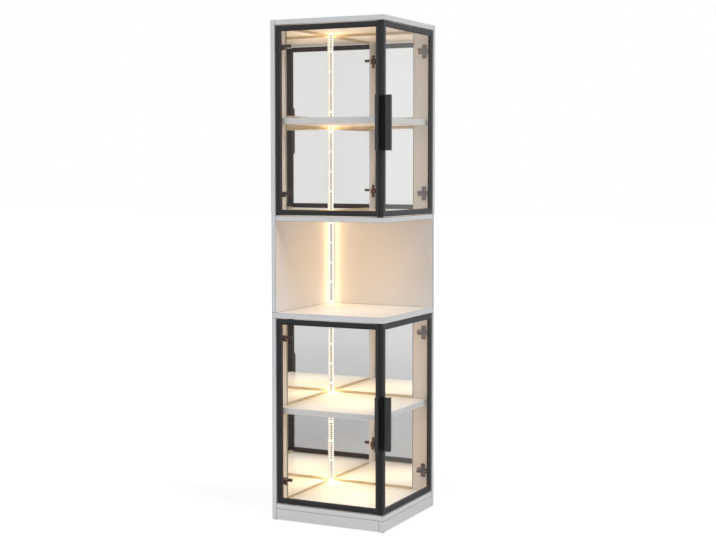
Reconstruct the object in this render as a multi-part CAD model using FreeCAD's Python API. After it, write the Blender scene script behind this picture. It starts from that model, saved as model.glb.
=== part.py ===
import FreeCAD, Part
import math
import os

# Tall square display cabinet: a glazed compartment below, an open niche with a lit
# corner, and a second glazed compartment above. Framed glass doors on the front and on
# the right side meet at the near corner without a post, and every door hangs on two
# concealed hinges whose pair of levers swings it clear of the wall it is inset in.
# Millimetres. +Z is up, -Y is the front and +X is the glazed side. The origin lies on
# the floor, in the middle of the overall box with the handles.

# Body of the cabinet
cabinet_width = 450.0
cabinet_depth = 450.0
board_thick = 18.0
middle_board_thick = 20.0
plinth_height = 42.0
opening_height = 682.0
niche_height = 333.0
glide_height = 3.0

# Doors and their running gaps
door_thick = 14.0
door_recess = 2.0
door_gap = 3.0
seam_gap = 2.0

# Door frame profiles: the outer face has a splayed inner border and a broken outer edge
hinge_stile_width = 15.0
front_meeting_stile_width = 11.0
side_meeting_stile_width = 17.0
rail_width = 18.0
splay_width = 5.0
splay_depth = 1.6
edge_break = 0.6
glass_thick = 4.0
glass_setback = 4.6
glass_side_gap = 0.25
glass_edge_gap = 0.5
groove_depth = 6.0

# Handles: a bent strip with a flange on the stile, a standing leg and a turned lip
handle_length = 192.0
handle_drop = 12.0
handle_stand = 28.0
handle_sheet = 2.0
handle_flange = 16.5
handle_lip = 12.0
handle_root_radius = 9.0
handle_lip_radius = 3.0
front_handle_overhang = 7.0
side_handle_overhang = 5.0

# Concealed hinges, in the door's own plan: x from the hinge edge, y from the outer face
hinge_end_distance = 77.0
door_pivot = (5.0, 17.0)
arm_pivot = (24.0, 22.0)
open_door_pivot = (3.569, 21.553)
outer_arm_pivot = (35.251, 42.219)
lever_elbow = (13.5, 15.85)
cheek_thick = 2.2
lever_thick = 5.4
lever_side_play = 0.3
lever_web = 2.7
door_pin_radius = 1.25
arm_pin_radius = 1.5
pin_running_gap = 0.05
pin_seat_gap = 0.02
open_pivot_gap = 0.85
door_knuckle_radius = 2.7
open_knuckle_radius = 3.8
arm_knuckle_radius = 4.0
outer_knuckle_radius = 4.5
arm_cheek_radius = 4.6
bracket_cheek_radius = 3.2
arm_block_start = 30.0
arm_block_end = 58.0
arm_block_thick = 7.0
plate_thick = 2.0
plate_wing_start = 27.0
plate_wing_end = 45.0
plate_wing_height = 52.0
plate_wing_round = 4.0
bracket_plate_start = 2.0
bracket_plate_end = 13.0
bracket_plate_height = 40.0
bracket_pocket_depth = 2.0
bracket_pocket_gap = 0.1
plate_screw_radius = 1.9
plate_screw_length = 13.0
plate_screw_head_radius = 3.5
plate_screw_head_height = 1.6
plate_screw_head_round = 0.8
plate_screw_spacing = 36.0

# Shelves and mirrors
shelf_thick = 22.0
shelf_setback = 25.0
shelf_wall_gap = 0.5
mirror_thick = 4.0
mirror_setback = 82.0
mirror_edge_gap = 0.3
mirror_hole_gap = 1.0

# Light profile in the inner corner
channel_leg = 16.0
channel_edge = 2.0
channel_recess_width = 10.4
channel_recess_depth = 2.2
strip_width = 10.0
strip_thick = 1.2
strip_bed_gap = 0.1
channel_end_gap = 0.3

# Panel fittings
cam_radius = 7.5
cam_height = 12.5
cam_setback = 34.0
bolt_thread_radius = 2.5
bolt_thread_length = 11.0
bolt_shank_radius = 3.0
shelf_cam_radius = 9.5
shelf_cam_height = 13.0
shelf_cam_setback = 19.0
shelf_pin_radius = 2.5
shelf_thread_radius = 2.0
fitting_gap = 0.1
dowel_radius = 4.0
dowel_in_holder = 10.0
dowel_in_board = 20.0
dowel_pitch = 32.0
fixing_inset = 60.0
wall_fixing_inset = 115.0
corner_fixing_inset = 110.0
kick_fixing_inset = 70.0
shelf_fixing_inset = 53.0
panel_screw_radius = 3.5
panel_screw_core_radius = 2.5
panel_screw_head_radius = 5.0
panel_screw_reach = 30.0
panel_screw_inset = 80.0

# Small parts
glide_radius = 8.5
glide_chamfer = 0.75
glide_nail_radius = 1.2
glide_nail_length = 12.0
glide_inset = 12.0
buffer_side = 18.0
buffer_height = 8.0
buffer_gap = 0.3
edge_round = 0.8
buffer_round = 1.5
cut_overrun = 1.0
match_tolerance = 0.01

# Levels, from the floor up
base_floor = plinth_height + board_thick
lower_ceiling = base_floor + opening_height
niche_floor = lower_ceiling + middle_board_thick
niche_ceiling = niche_floor + niche_height
upper_floor = niche_ceiling + board_thick
upper_ceiling = upper_floor + opening_height
cabinet_height = upper_ceiling + board_thick

# Plan: the body stands back from the middle of the box by half the handles' reach
handle_reach = handle_stand - door_recess
left_outer = -(cabinet_width + handle_reach) / 2
right_outer = left_outer + cabinet_width
front_outer = -(cabinet_depth - handle_reach) / 2
back_outer = front_outer + cabinet_depth
left_inner = left_outer + board_thick
back_inner = back_outer - board_thick

# Door faces, hinge edges and widths
front_face = front_outer + door_recess
side_face = right_outer - door_recess
front_hinge_edge = left_inner + door_gap
side_hinge_edge = back_inner - door_gap
front_door_width = side_face - door_thick - seam_gap - front_hinge_edge
side_door_width = side_hinge_edge - front_face

along_x = FreeCAD.Vector(1, 0, 0)
along_y = FreeCAD.Vector(0, 1, 0)
upward = FreeCAD.Vector(0, 0, 1)


def point(x, y, z):
    return FreeCAD.Vector(x, y, z)


def block(low, high):
    return Part.makeBox(high[0] - low[0], high[1] - low[1], high[2] - low[2], point(*low))


def rod(radius, start, direction, length):
    return Part.makeCylinder(radius, length, start, direction)


def upright_rod(centre, radius, low, high):
    return rod(radius, point(centre[0], centre[1], low), upward, high - low)


def upright_prism(outline, low, high):
    corners = [point(x, y, low) for x, y in outline]
    face = Part.Face(Part.makePolygon(corners + [corners[0]]))
    return face.extrude(upward * (high - low))


def joined(shapes):
    whole = shapes[0]
    for shape in shapes[1:]:
        whole = whole.fuse(shape)
    return whole.removeSplitter()


def link(start, end, start_radius, end_radius, low, high):
    """Flat link whose ends are round about two pivots and whose sides are tangent to both."""
    run_x = end[0] - start[0]
    run_y = end[1] - start[1]
    length = math.hypot(run_x, run_y)
    heading = math.atan2(run_y, run_x)
    spread = math.acos((start_radius - end_radius) / length)
    sides = []
    for turn in (spread, -spread):
        normal = (math.cos(heading + turn), math.sin(heading + turn))
        near = (start[0] + start_radius * normal[0], start[1] + start_radius * normal[1])
        far = (end[0] + end_radius * normal[0], end[1] + end_radius * normal[1])
        sides.append((near, far))
    (near_a, far_a), (near_b, far_b) = sides
    middle = upright_prism([near_a, near_b, far_b, far_a], low, high)
    rounds = [
        upright_rod(start, start_radius, low, high),
        upright_rod(end, end_radius, low, high),
    ]
    return joined([middle] + rounds)


# Panel fittings: a threaded bolt in the holding panel reaches into the edge of the other
# panel, where a round cam draws it tight. Each fitting starts at a point on the meeting
# plane, runs "into" the edge and takes its cam from the face that "face" points to.
cam_sizes = {
    "thread_radius": bolt_thread_radius,
    "thread_length": bolt_thread_length,
    "shank_radius": bolt_shank_radius,
    "cam_radius": cam_radius,
    "cam_height": cam_height,
    "setback": cam_setback,
    "half_board": board_thick / 2,
}
shelf_sizes = {
    "thread_radius": shelf_thread_radius,
    "thread_length": bolt_thread_length,
    "shank_radius": shelf_pin_radius,
    "cam_radius": shelf_cam_radius,
    "cam_height": shelf_cam_height,
    "setback": mirror_thick + shelf_wall_gap + shelf_cam_setback,
    "half_board": shelf_thick / 2,
}


def fitting_bolt(place, sizes):
    start, into, _ = place
    thread = rod(sizes["thread_radius"], start, -into, sizes["thread_length"])
    shank = rod(sizes["shank_radius"], start, into, sizes["setback"])
    return joined([thread, shank])


def fitting_thread_hole(place, sizes):
    start, into, _ = place
    depth = sizes["thread_length"] + fitting_gap + cut_overrun
    return rod(sizes["thread_radius"] + fitting_gap, start + into * cut_overrun, -into, depth)


def fitting_shank_hole(place, sizes):
    start, into, _ = place
    depth = sizes["setback"] + fitting_gap + cut_overrun
    return rod(sizes["shank_radius"] + fitting_gap, start - into * cut_overrun, into, depth)


def fitting_cam(place, sizes):
    start, into, face = place
    bottom = start + into * sizes["setback"] + face * (sizes["half_board"] - sizes["cam_height"])
    disc = rod(sizes["cam_radius"], bottom, face, sizes["cam_height"])
    return disc.cut(fitting_shank_hole(place, sizes))


def fitting_cam_hole(place, sizes):
    start, into, face = place
    depth = sizes["cam_height"] + fitting_gap
    bottom = start + into * sizes["setback"] + face * (sizes["half_board"] - depth)
    return rod(sizes["cam_radius"] + fitting_gap, bottom, face, depth + cut_overrun)


def dowel(place):
    start, into = place
    return rod(dowel_radius, start - into * dowel_in_holder, into, dowel_in_holder + dowel_in_board)


def dowel_hole(place):
    start, into = place
    first = start - into * (dowel_in_holder + fitting_gap)
    return rod(dowel_radius + fitting_gap, first, into, dowel_in_holder + dowel_in_board + 2 * fitting_gap)


def board_edge_joint(holder, board, middle_level, face):
    """Cams and dowels that hold an inset board to one wall, beside each end of its edge."""
    cams = []
    dowels = []
    if holder.startswith("left"):
        ends = (front_outer + fixing_inset, 1), (back_inner - fixing_inset, -1)
        for y, inward in ends:
            cams.append((point(left_inner, y, middle_level), along_x, face))
            dowels.append((point(left_inner, y + inward * dowel_pitch, middle_level), along_x))
    else:
        ends = (left_inner + fixing_inset, 1), (right_outer - fixing_inset, -1)
        for x, inward in ends:
            cams.append((point(x, back_inner, middle_level), -along_y, face))
            dowels.append((point(x + inward * dowel_pitch, back_inner, middle_level), -along_y))
    return {"holder": holder, "board": board, "cams": cams, "dowels": dowels}


def wall_top_joint(wall, face):
    """Cams and dowels that hold the middle board on the upper edge of a lower wall."""
    cams = []
    dowels = []
    if wall.startswith("left"):
        middle = left_outer + board_thick / 2
        ends = (front_outer + wall_fixing_inset, 1), (back_outer - wall_fixing_inset, -1)
        for y, inward in ends:
            cams.append((point(middle, y, lower_ceiling), -upward, face))
            dowels.append((point(middle, y + inward * dowel_pitch, lower_ceiling), -upward))
    else:
        middle = back_outer - board_thick / 2
        ends = (left_inner + wall_fixing_inset, 1), (right_outer - wall_fixing_inset, -1)
        for x, inward in ends:
            cams.append((point(x, middle, lower_ceiling), -upward, face))
            dowels.append((point(x + inward * dowel_pitch, middle, lower_ceiling), -upward))
    return {"holder": "middle_board", "board": wall, "cams": cams, "dowels": dowels}


def corner_joint(level, low, high):
    """Cams in the rear face that hold the end of a back wall to the left wall."""
    middle = back_outer - board_thick / 2
    cams = []
    dowels = []
    for z, inward in ((low + corner_fixing_inset, 1), (high - corner_fixing_inset, -1)):
        cams.append((point(left_inner, middle, z), along_x, along_y))
        dowels.append((point(left_inner, middle, z + inward * dowel_pitch), along_x))
    return {"holder": "left_wall_" + level, "board": "back_wall_" + level, "cams": cams, "dowels": dowels}


def kick_joint(board, places):
    """Dowels that hold a kick board under the base board."""
    dowels = [(point(x, y, plinth_height), -upward) for x, y in places]
    return {"holder": "base_board", "board": board, "cams": [], "dowels": dowels}


def panel_joints():
    joints = []
    base_middle = plinth_height + board_thick / 2
    niche_middle = niche_ceiling + board_thick / 2
    top_middle = upper_ceiling + board_thick / 2
    for side in ("left", "back"):
        joints.append(board_edge_joint(side + "_wall_lower", "base_board", base_middle, -upward))
        joints.append(board_edge_joint(side + "_wall_upper", "niche_ceiling_board", niche_middle, -upward))
        joints.append(board_edge_joint(side + "_wall_upper", "top_board", top_middle, upward))
    joints.append(wall_top_joint("left_wall_lower", along_x))
    joints.append(wall_top_joint("back_wall_lower", -along_y))
    joints.append(corner_joint("lower", glide_height, lower_ceiling))
    joints.append(corner_joint("upper", niche_floor, cabinet_height))
    front_middle = front_outer + board_thick / 2
    side_middle = right_outer - board_thick / 2
    front_ends = (left_inner + kick_fixing_inset, right_outer - board_thick - kick_fixing_inset)
    side_ends = (front_outer + kick_fixing_inset, back_inner - kick_fixing_inset)
    joints.append(kick_joint("front_kick_board", [(x, front_middle) for x in front_ends]))
    joints.append(kick_joint("side_kick_board", [(side_middle, y) for y in side_ends]))
    return joints


all_joints = panel_joints()
all_cams = [place for joint in all_joints for place in joint["cams"]]
all_dowels = [place for joint in all_joints for place in joint["dowels"]]


def shelf_levels():
    middles = ((base_floor + lower_ceiling) / 2, (upper_floor + upper_ceiling) / 2)
    return {"lower": middles[0], "upper": middles[1]}


def shelf_fixings(level):
    """Four fittings per shelf: one near each end of its two walls, wall by wall."""
    middle = shelf_levels()[level]
    near = shelf_fixing_inset
    left = [front_outer + near, back_inner - near]
    back = [left_inner + near, right_outer - near]
    return {
        "left": [(point(left_inner, y, middle), along_x, -upward) for y in left],
        "back": [(point(x, back_inner, middle), -along_y, -upward) for x in back],
    }


def fitted(name, panel):
    """The panel with the holes of every fitting that enters it."""
    holes = []
    for joint in all_joints:
        if name not in (joint["holder"], joint["board"]):
            continue
        holes += [dowel_hole(place) for place in joint["dowels"]]
        for place in joint["cams"]:
            if joint["holder"] == name:
                holes.append(fitting_thread_hole(place, cam_sizes))
            else:
                holes.append(fitting_shank_hole(place, cam_sizes))
                holes.append(fitting_cam_hole(place, cam_sizes))
    if name.startswith(("left_wall", "back_wall")):
        side, _, level = name.split("_")
        places = shelf_fixings(level)[side]
        holes += [fitting_thread_hole(place, shelf_sizes) for place in places]
        holes += hinge_screw_holes(side, level)
    if name in ("left_wall_upper", "back_wall_upper"):
        holes += [panel_screw_core_hole(place) for place in panel_screw_places(name)]
    if name == "middle_board":
        for wall in ("left_wall_upper", "back_wall_upper"):
            holes += [panel_screw_hole(place) for place in panel_screw_places(wall)]
    holes += [glide_nail_hole(centre) for centre, owner in glide_places() if owner == name]
    return panel.cut(Part.makeCompound(holes)) if holes else panel


def banded(panel):
    """A panel whose edges are rounded by the edge band, so that its seams show as fine lines."""
    return panel.makeFillet(edge_round, panel.Edges)


def left_wall(level, low, high):
    panel = banded(block((left_outer, front_outer, low), (left_inner, back_outer, high)))
    return fitted("left_wall_" + level, panel)


def back_wall(level, low, high):
    panel = banded(block((left_inner, back_inner, low), (right_outer, back_outer, high)))
    return fitted("back_wall_" + level, panel)


def inset_board(name, low):
    panel = banded(block((left_inner, front_outer, low), (right_outer, back_inner, low + board_thick)))
    return fitted(name, panel)


def middle_board():
    low = (left_outer, front_outer, lower_ceiling)
    high = (right_outer, back_outer, niche_floor)
    return fitted("middle_board", banded(block(low, high)))


def front_kick_board():
    low = (left_inner, front_outer, glide_height)
    high = (right_outer - board_thick, front_outer + board_thick, plinth_height)
    return fitted("front_kick_board", banded(block(low, high)))


def side_kick_board():
    low = (right_outer - board_thick, front_outer, glide_height)
    high = (right_outer, back_inner, plinth_height)
    return fitted("side_kick_board", banded(block(low, high)))


# Screws that rise through the middle board into the lower edges of the upper walls
def panel_screw_places(wall):
    if wall.startswith("left"):
        middle = left_outer + board_thick / 2
        return [(middle, front_outer + panel_screw_inset), (middle, back_outer - panel_screw_inset)]
    middle = back_outer - board_thick / 2
    return [(left_inner + panel_screw_inset, middle), (right_outer - panel_screw_inset, middle)]


def screw_body(centre, gap):
    head_height = panel_screw_head_radius - panel_screw_radius
    foot = point(centre[0], centre[1], lower_ceiling)
    head = Part.makeCone(panel_screw_head_radius + gap, panel_screw_radius + gap, head_height, foot, upward)
    shank = upright_rod(centre, panel_screw_radius + gap, lower_ceiling + head_height, niche_floor)
    return [head, shank]


def panel_screw(centre):
    core = upright_rod(centre, panel_screw_core_radius, niche_floor, niche_floor + panel_screw_reach)
    return joined(screw_body(centre, 0) + [core])


def panel_screw_hole(centre):
    return joined(screw_body(centre, fitting_gap))


def panel_screw_core_hole(centre):
    top = niche_floor + panel_screw_reach + fitting_gap
    return upright_rod(centre, panel_screw_core_radius + fitting_gap, niche_floor - cut_overrun, top)


def lies_on(edge, axis, value):
    """True for an edge whose ends both have this value along one axis."""
    ends = [getattr(vertex.Point, axis) for vertex in edge.Vertexes]
    return all(abs(end - value) < match_tolerance for end in ends)


# Nail-on glides under the four corners
def glide_places():
    near_left = left_outer + board_thick / 2
    near_right = right_outer - board_thick / 2
    front = front_outer + glide_inset
    back = back_outer - board_thick / 2
    return [
        ((near_left, front), "left_wall_lower"),
        ((near_left, back_outer - glide_inset), "left_wall_lower"),
        ((near_right, front), "side_kick_board"),
        ((right_outer - glide_inset, back), "back_wall_lower"),
    ]


def glide(centre):
    nail = upright_rod(centre, glide_nail_radius, glide_height, glide_height + glide_nail_length)
    disc = upright_rod(centre, glide_radius, 0, glide_height)
    rim = [edge for edge in disc.Edges if lies_on(edge, "z", 0)]
    disc = disc.makeChamfer(glide_chamfer, rim)
    return joined([disc, nail])


def glide_nail_hole(centre):
    top = glide_height + glide_nail_length + fitting_gap
    return upright_rod(centre, glide_nail_radius + fitting_gap, glide_height - cut_overrun, top)


# Shelves, their fittings and the mirrors behind them
def shelf(level):
    middle = shelf_levels()[level]
    low = middle - shelf_thick / 2
    high = middle + shelf_thick / 2
    wall_side = left_inner + mirror_thick + shelf_wall_gap
    back_side = back_inner - mirror_thick - shelf_wall_gap
    front_edge = front_outer + shelf_setback
    free_edge = right_outer - shelf_setback
    notch_x = left_inner + channel_leg + shelf_wall_gap
    notch_y = back_inner - channel_leg - shelf_wall_gap
    outline = [
        (wall_side, front_edge),
        (free_edge, front_edge),
        (free_edge, back_side),
        (notch_x, back_side),
        (notch_x, notch_y),
        (wall_side, notch_y),
    ]
    panel = banded(upright_prism(outline, low, high))
    holes = []
    for places in shelf_fixings(level).values():
        for place in places:
            holes.append(fitting_shank_hole(place, shelf_sizes))
            holes.append(fitting_cam_hole(place, shelf_sizes))
    return panel.cut(Part.makeCompound(holes))


def shelf_connectors():
    places = []
    for level in ("lower", "upper"):
        for wall_places in shelf_fixings(level).values():
            places += wall_places
    bolts = [fitting_bolt(place, shelf_sizes) for place in places]
    cams = [fitting_cam(place, shelf_sizes) for place in places]
    return Part.makeCompound(bolts + cams)


def mirror(level, side):
    low, high = (base_floor, lower_ceiling) if level == "lower" else (upper_floor, upper_ceiling)
    low = low + mirror_edge_gap
    high = high - mirror_edge_gap
    if side == "left":
        far = back_inner - channel_leg - mirror_edge_gap
        pane = block(
            (left_inner, front_outer + mirror_setback, low), (left_inner + mirror_thick, far, high)
        )
    else:
        near = left_inner + channel_leg + mirror_edge_gap
        pane = block(
            (near, back_inner - mirror_thick, low), (right_outer - mirror_setback, back_inner, high)
        )
    holes = []
    for start, into, _ in shelf_fixings(level)[side]:
        depth = mirror_thick + 2 * cut_overrun
        holes.append(rod(shelf_pin_radius + mirror_hole_gap, start - into * cut_overrun, into, depth))
    return pane.cut(Part.makeCompound(holes))


# Light profile: its section lies in the corner of the two walls, across the diagonal
def corner_point(across, along):
    return (left_inner + across, back_inner - along)


def diagonal_points(half_width, depth):
    """Two points either side of the diagonal face's middle, sunk by the depth."""
    middle = (channel_leg + channel_edge) / 2
    step = half_width / math.sqrt(2)
    sink = depth / math.sqrt(2)
    first = corner_point(middle + step - sink, middle - step - sink)
    second = corner_point(middle - step - sink, middle + step - sink)
    return first, second


def corner_heights():
    return ((base_floor, lower_ceiling), (niche_floor, niche_ceiling), (upper_floor, upper_ceiling))


def light_channels():
    half = channel_recess_width / 2
    rim_a, rim_b = diagonal_points(half, 0)
    bed_a, bed_b = diagonal_points(half, channel_recess_depth)
    outline = [
        corner_point(0, 0),
        corner_point(channel_leg, 0),
        corner_point(channel_leg, channel_edge),
        rim_a,
        bed_a,
        bed_b,
        rim_b,
        corner_point(channel_edge, channel_leg),
        corner_point(0, channel_leg),
    ]
    lengths = [
        upright_prism(outline, low + channel_end_gap, high - channel_end_gap)
        for low, high in corner_heights()
    ]
    return Part.makeCompound(lengths)


def light_strips():
    half = strip_width / 2
    back_a, back_b = diagonal_points(half, channel_recess_depth - strip_bed_gap)
    face_a, face_b = diagonal_points(half, channel_recess_depth - strip_bed_gap - strip_thick)
    outline = [back_a, back_b, face_b, face_a]
    lengths = [
        upright_prism(outline, low + 2 * channel_end_gap, high - 2 * channel_end_gap)
        for low, high in corner_heights()
    ]
    return Part.makeCompound(lengths)


def corner_buffers():
    """Soft stops on the boards behind the doors' free corners."""
    far_x = side_face - door_thick - buffer_gap
    near_y = front_face + door_thick + buffer_gap
    lows = []
    for floor, ceiling in (corner_heights()[0], corner_heights()[2]):
        lows += [floor, ceiling - buffer_height]
    stops = []
    for low in lows:
        stop = block(
            (far_x - buffer_side, near_y, low), (far_x, near_y + buffer_side, low + buffer_height)
        )
        stops.append(stop.makeFillet(buffer_round, stop.Edges))
    return Part.makeCompound(stops)


# The doors are drawn once in their own plan and then set in the front or in the side
def set_door(shape, side):
    if side == "front":
        return shape.translated(point(front_hinge_edge, front_face, 0))
    turned = shape.mirror(point(0, 0, 0), along_x + along_y)
    return turned.translated(point(side_face, side_hinge_edge, 0))


def door_heights(level):
    low, high = (base_floor, lower_ceiling) if level == "lower" else (upper_floor, upper_ceiling)
    return low + door_gap, high - door_gap


def door_widths(side):
    if side == "front":
        return front_door_width, front_meeting_stile_width
    return side_door_width, side_meeting_stile_width


def hinge_levels(level):
    low, high = (base_floor, lower_ceiling) if level == "lower" else (upper_floor, upper_ceiling)
    return low + hinge_end_distance, high - hinge_end_distance


def frame_section(width):
    """Section of a frame member: first number from its outer edge, second from its face."""
    groove_front = glass_setback - glass_side_gap
    groove_back = glass_setback + glass_thick + glass_side_gap
    return [
        (edge_break, 0),
        (width - splay_width, 0),
        (width, splay_depth),
        (width, groove_front),
        (width - groove_depth, groove_front),
        (width - groove_depth, groove_back),
        (width, groove_back),
        (width, door_thick),
        (0, door_thick),
        (0, edge_break),
    ]


def stile_zone(stile_width, low, high):
    """Elevation outline of a stile: its ends are mitred under the wider rails."""
    drop = rail_width - stile_width
    outline = [
        (0, low + drop),
        (stile_width, low + rail_width),
        (stile_width, high - rail_width),
        (0, high - drop),
    ]
    return elevation_prism(outline)


def elevation_prism(outline):
    corners = [point(x, -cut_overrun, z) for x, z in outline]
    face = Part.Face(Part.makePolygon(corners + [corners[0]]))
    return face.extrude(along_y * (door_thick + 2 * cut_overrun))


def flipped(shape, width):
    """The shape as seen from the door's other edge."""
    return shape.mirror(point(width / 2, 0, 0), along_x)


def stile(stile_width, low, high):
    bar = upright_prism(frame_section(stile_width), low, high)
    return bar.common(stile_zone(stile_width, low, high))


def hinge_stile(level):
    low, high = door_heights(level)
    bar = stile(hinge_stile_width, low, high)
    pockets = []
    for middle in hinge_levels(level):
        half = bracket_plate_height / 2 + bracket_pocket_gap
        pockets.append(
            block(
                (
                    bracket_plate_start - bracket_pocket_gap,
                    door_thick - bracket_pocket_depth,
                    middle - half,
                ),
                (bracket_plate_end + bracket_pocket_gap, door_thick + cut_overrun, middle + half),
            )
        )
    return bar.cut(Part.makeCompound(pockets))


def meeting_stile(side, level):
    low, high = door_heights(level)
    width, meeting_width = door_widths(side)
    return flipped(stile(meeting_width, low, high), width)


def rail_bar(width, edge_level, rising):
    """Rail along x with its outer edge at one level; rising is 1 for the lower rail."""
    corners = [point(0, y, edge_level + rising * x) for x, y in frame_section(rail_width)]
    face = Part.Face(Part.makePolygon(corners + [corners[0]]))
    return face.extrude(along_x * width)


def rails(side, level):
    low, high = door_heights(level)
    width, meeting_width = door_widths(side)
    hinge_drop = rail_width - hinge_stile_width
    meeting_drop = rail_width - meeting_width
    bars = []
    for edge_level, rising in ((low, 1), (high, -1)):
        outline = [
            (0, edge_level),
            (width, edge_level),
            (width, edge_level + rising * meeting_drop),
            (width - meeting_width, edge_level + rising * rail_width),
            (hinge_stile_width, edge_level + rising * rail_width),
            (0, edge_level + rising * hinge_drop),
        ]
        bars.append(rail_bar(width, edge_level, rising).common(elevation_prism(outline)))
    return Part.makeCompound(bars)


def pane(side, level):
    low, high = door_heights(level)
    width, meeting_width = door_widths(side)
    bite = groove_depth - glass_edge_gap
    return block(
        (hinge_stile_width - bite, glass_setback, low + rail_width - bite),
        (width - meeting_width + bite, glass_setback + glass_thick, high - rail_width + bite),
    )


def arc_through(centre, radius, start_angle, end_angle):
    """Arc in the plan about a centre, between two angles in degrees."""
    angles = (start_angle, (start_angle + end_angle) / 2, end_angle)
    marks = [
        point(
            centre[0] + radius * math.cos(math.radians(angle)),
            centre[1] + radius * math.sin(math.radians(angle)),
            0,
        )
        for angle in angles
    ]
    return Part.Arc(*marks).toShape()


def handle_section(leg_face):
    """Closed section of the bent strip; leg_face is where its leg's outer face lies."""
    root = (leg_face - handle_root_radius, -handle_root_radius)
    turn = (leg_face - handle_lip_radius, handle_lip_radius - handle_stand)
    outer_root = arc_through(root, handle_root_radius, 90, 0)
    outer_turn = arc_through(turn, handle_lip_radius, 0, -90)
    inner_turn = arc_through(turn, handle_lip_radius - handle_sheet, -90, 0)
    inner_root = arc_through(root, handle_root_radius - handle_sheet, 0, 90)
    flange_tip = leg_face - handle_flange
    lip_tip = leg_face - handle_lip
    edges = [
        line((flange_tip, 0), end_of(outer_root, 0)),
        outer_root,
        line(end_of(outer_root, 1), end_of(outer_turn, 0)),
        outer_turn,
        line(end_of(outer_turn, 1), (lip_tip, -handle_stand)),
        line((lip_tip, -handle_stand), (lip_tip, handle_sheet - handle_stand)),
        line((lip_tip, handle_sheet - handle_stand), end_of(inner_turn, 0)),
        inner_turn,
        line(end_of(inner_turn, 1), end_of(inner_root, 0)),
        inner_root,
        line(end_of(inner_root, 1), (flange_tip, -handle_sheet)),
        line((flange_tip, -handle_sheet), (flange_tip, 0)),
    ]
    return Part.Face(Part.Wire(edges))


def line(start, end):
    return Part.makeLine(point(start[0], start[1], 0), point(end[0], end[1], 0))


def end_of(edge, which):
    mark = edge.Vertexes[which].Point
    return (mark.x, mark.y)


def handle(side, level):
    width, _ = door_widths(side)
    overhang = front_handle_overhang if side == "front" else side_handle_overhang
    middle = shelf_levels()[level] - handle_drop
    section = handle_section(width + overhang)
    strip = section.extrude(upward * handle_length)
    return strip.translated(point(0, 0, middle - handle_length / 2))


# Hinge layers, from the bottom: cheek, inner lever, cheek, outer lever, cheek
layer_pitch = cheek_thick + 2 * lever_side_play + lever_thick
hinge_half_height = layer_pitch + cheek_thick / 2


def cheek_span(number, middle):
    low = middle - hinge_half_height + number * layer_pitch
    return low, low + cheek_thick


def lever_span(number, middle):
    low = middle - hinge_half_height + number * layer_pitch + cheek_thick + lever_side_play
    return low, low + lever_thick


def pin_span(number, middle):
    return cheek_span(number, middle)[0], cheek_span(number + 1, middle)[1]


def hinge_arm(middle):
    """Block on the plate with three cheeks that carry the two fixed pivots."""
    wall_x = -door_gap
    low = cheek_span(0, middle)[0]
    high = cheek_span(2, middle)[1]
    block_face = wall_x + plate_thick + arm_block_thick
    root = (wall_x + plate_thick + arm_block_thick / 2, (arm_block_start + arm_block_end) / 2)
    root_radius = arm_block_thick / 2
    body = [block((wall_x + plate_thick, arm_block_start, low), (block_face, arm_block_end, high))]
    for number, pivots in ((0, [arm_pivot]), (1, [arm_pivot, outer_arm_pivot]), (2, [outer_arm_pivot])):
        for pivot in pivots:
            body.append(link(root, pivot, root_radius, arm_cheek_radius, *cheek_span(number, middle)))
    arm = joined(body)
    holes = []
    for number, pivot in ((0, arm_pivot), (1, outer_arm_pivot)):
        span_low, span_high = pin_span(number, middle)
        holes.append(upright_rod(pivot, arm_pin_radius + pin_seat_gap, span_low, span_high))
    return arm.cut(Part.makeCompound(holes))


def arm_pins(middle):
    return [
        upright_rod(arm_pivot, arm_pin_radius, *pin_span(0, middle)),
        upright_rod(outer_arm_pivot, arm_pin_radius, *pin_span(1, middle)),
    ]


def hinge_bracket(middle):
    """Plate let into the stile's back with three cheeks that carry the door's pivots."""
    half = bracket_plate_height / 2
    plate_face = door_thick - bracket_pocket_gap
    plate_back = door_thick - bracket_pocket_depth
    body = [
        block(
            (bracket_plate_start, plate_back, middle - half),
            (bracket_plate_end, plate_face, middle + half),
        )
    ]
    for number, pivots in ((0, [door_pivot]), (1, [door_pivot, open_door_pivot]), (2, [open_door_pivot])):
        low, high = cheek_span(number, middle)
        stem_end = door_pivot[0] + bracket_cheek_radius
        stem_back = pivots[-1][1]
        body.append(block((bracket_plate_start, plate_back, low), (stem_end, stem_back, high)))
        for pivot in pivots:
            body.append(upright_rod(pivot, bracket_cheek_radius, low, high))
    bracket = joined(body)
    holes = []
    for number, pivot in ((0, door_pivot), (1, open_door_pivot)):
        span_low, span_high = pin_span(number, middle)
        holes.append(upright_rod(pivot, door_pin_radius + pin_seat_gap, span_low, span_high))
    return bracket.cut(Part.makeCompound(holes))


def bracket_pins(middle):
    return [
        upright_rod(door_pivot, door_pin_radius, *pin_span(0, middle)),
        upright_rod(open_door_pivot, door_pin_radius, *pin_span(1, middle)),
    ]


def inner_lever(middle):
    """Cranked lever: its thin neck leaves room for the stile's corner when the door is open."""
    low, high = lever_span(0, middle)
    half_web = lever_web / 2
    body = joined([
        upright_rod(door_pivot, door_knuckle_radius, low, high),
        link(door_pivot, lever_elbow, half_web, half_web, low, high),
        link(lever_elbow, arm_pivot, half_web, arm_knuckle_radius, low, high),
    ])
    bores = [
        upright_rod(door_pivot, door_pin_radius + pin_running_gap, low, high),
        upright_rod(arm_pivot, arm_pin_radius + pin_running_gap, low, high),
    ]
    return body.cut(Part.makeCompound(bores))


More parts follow.
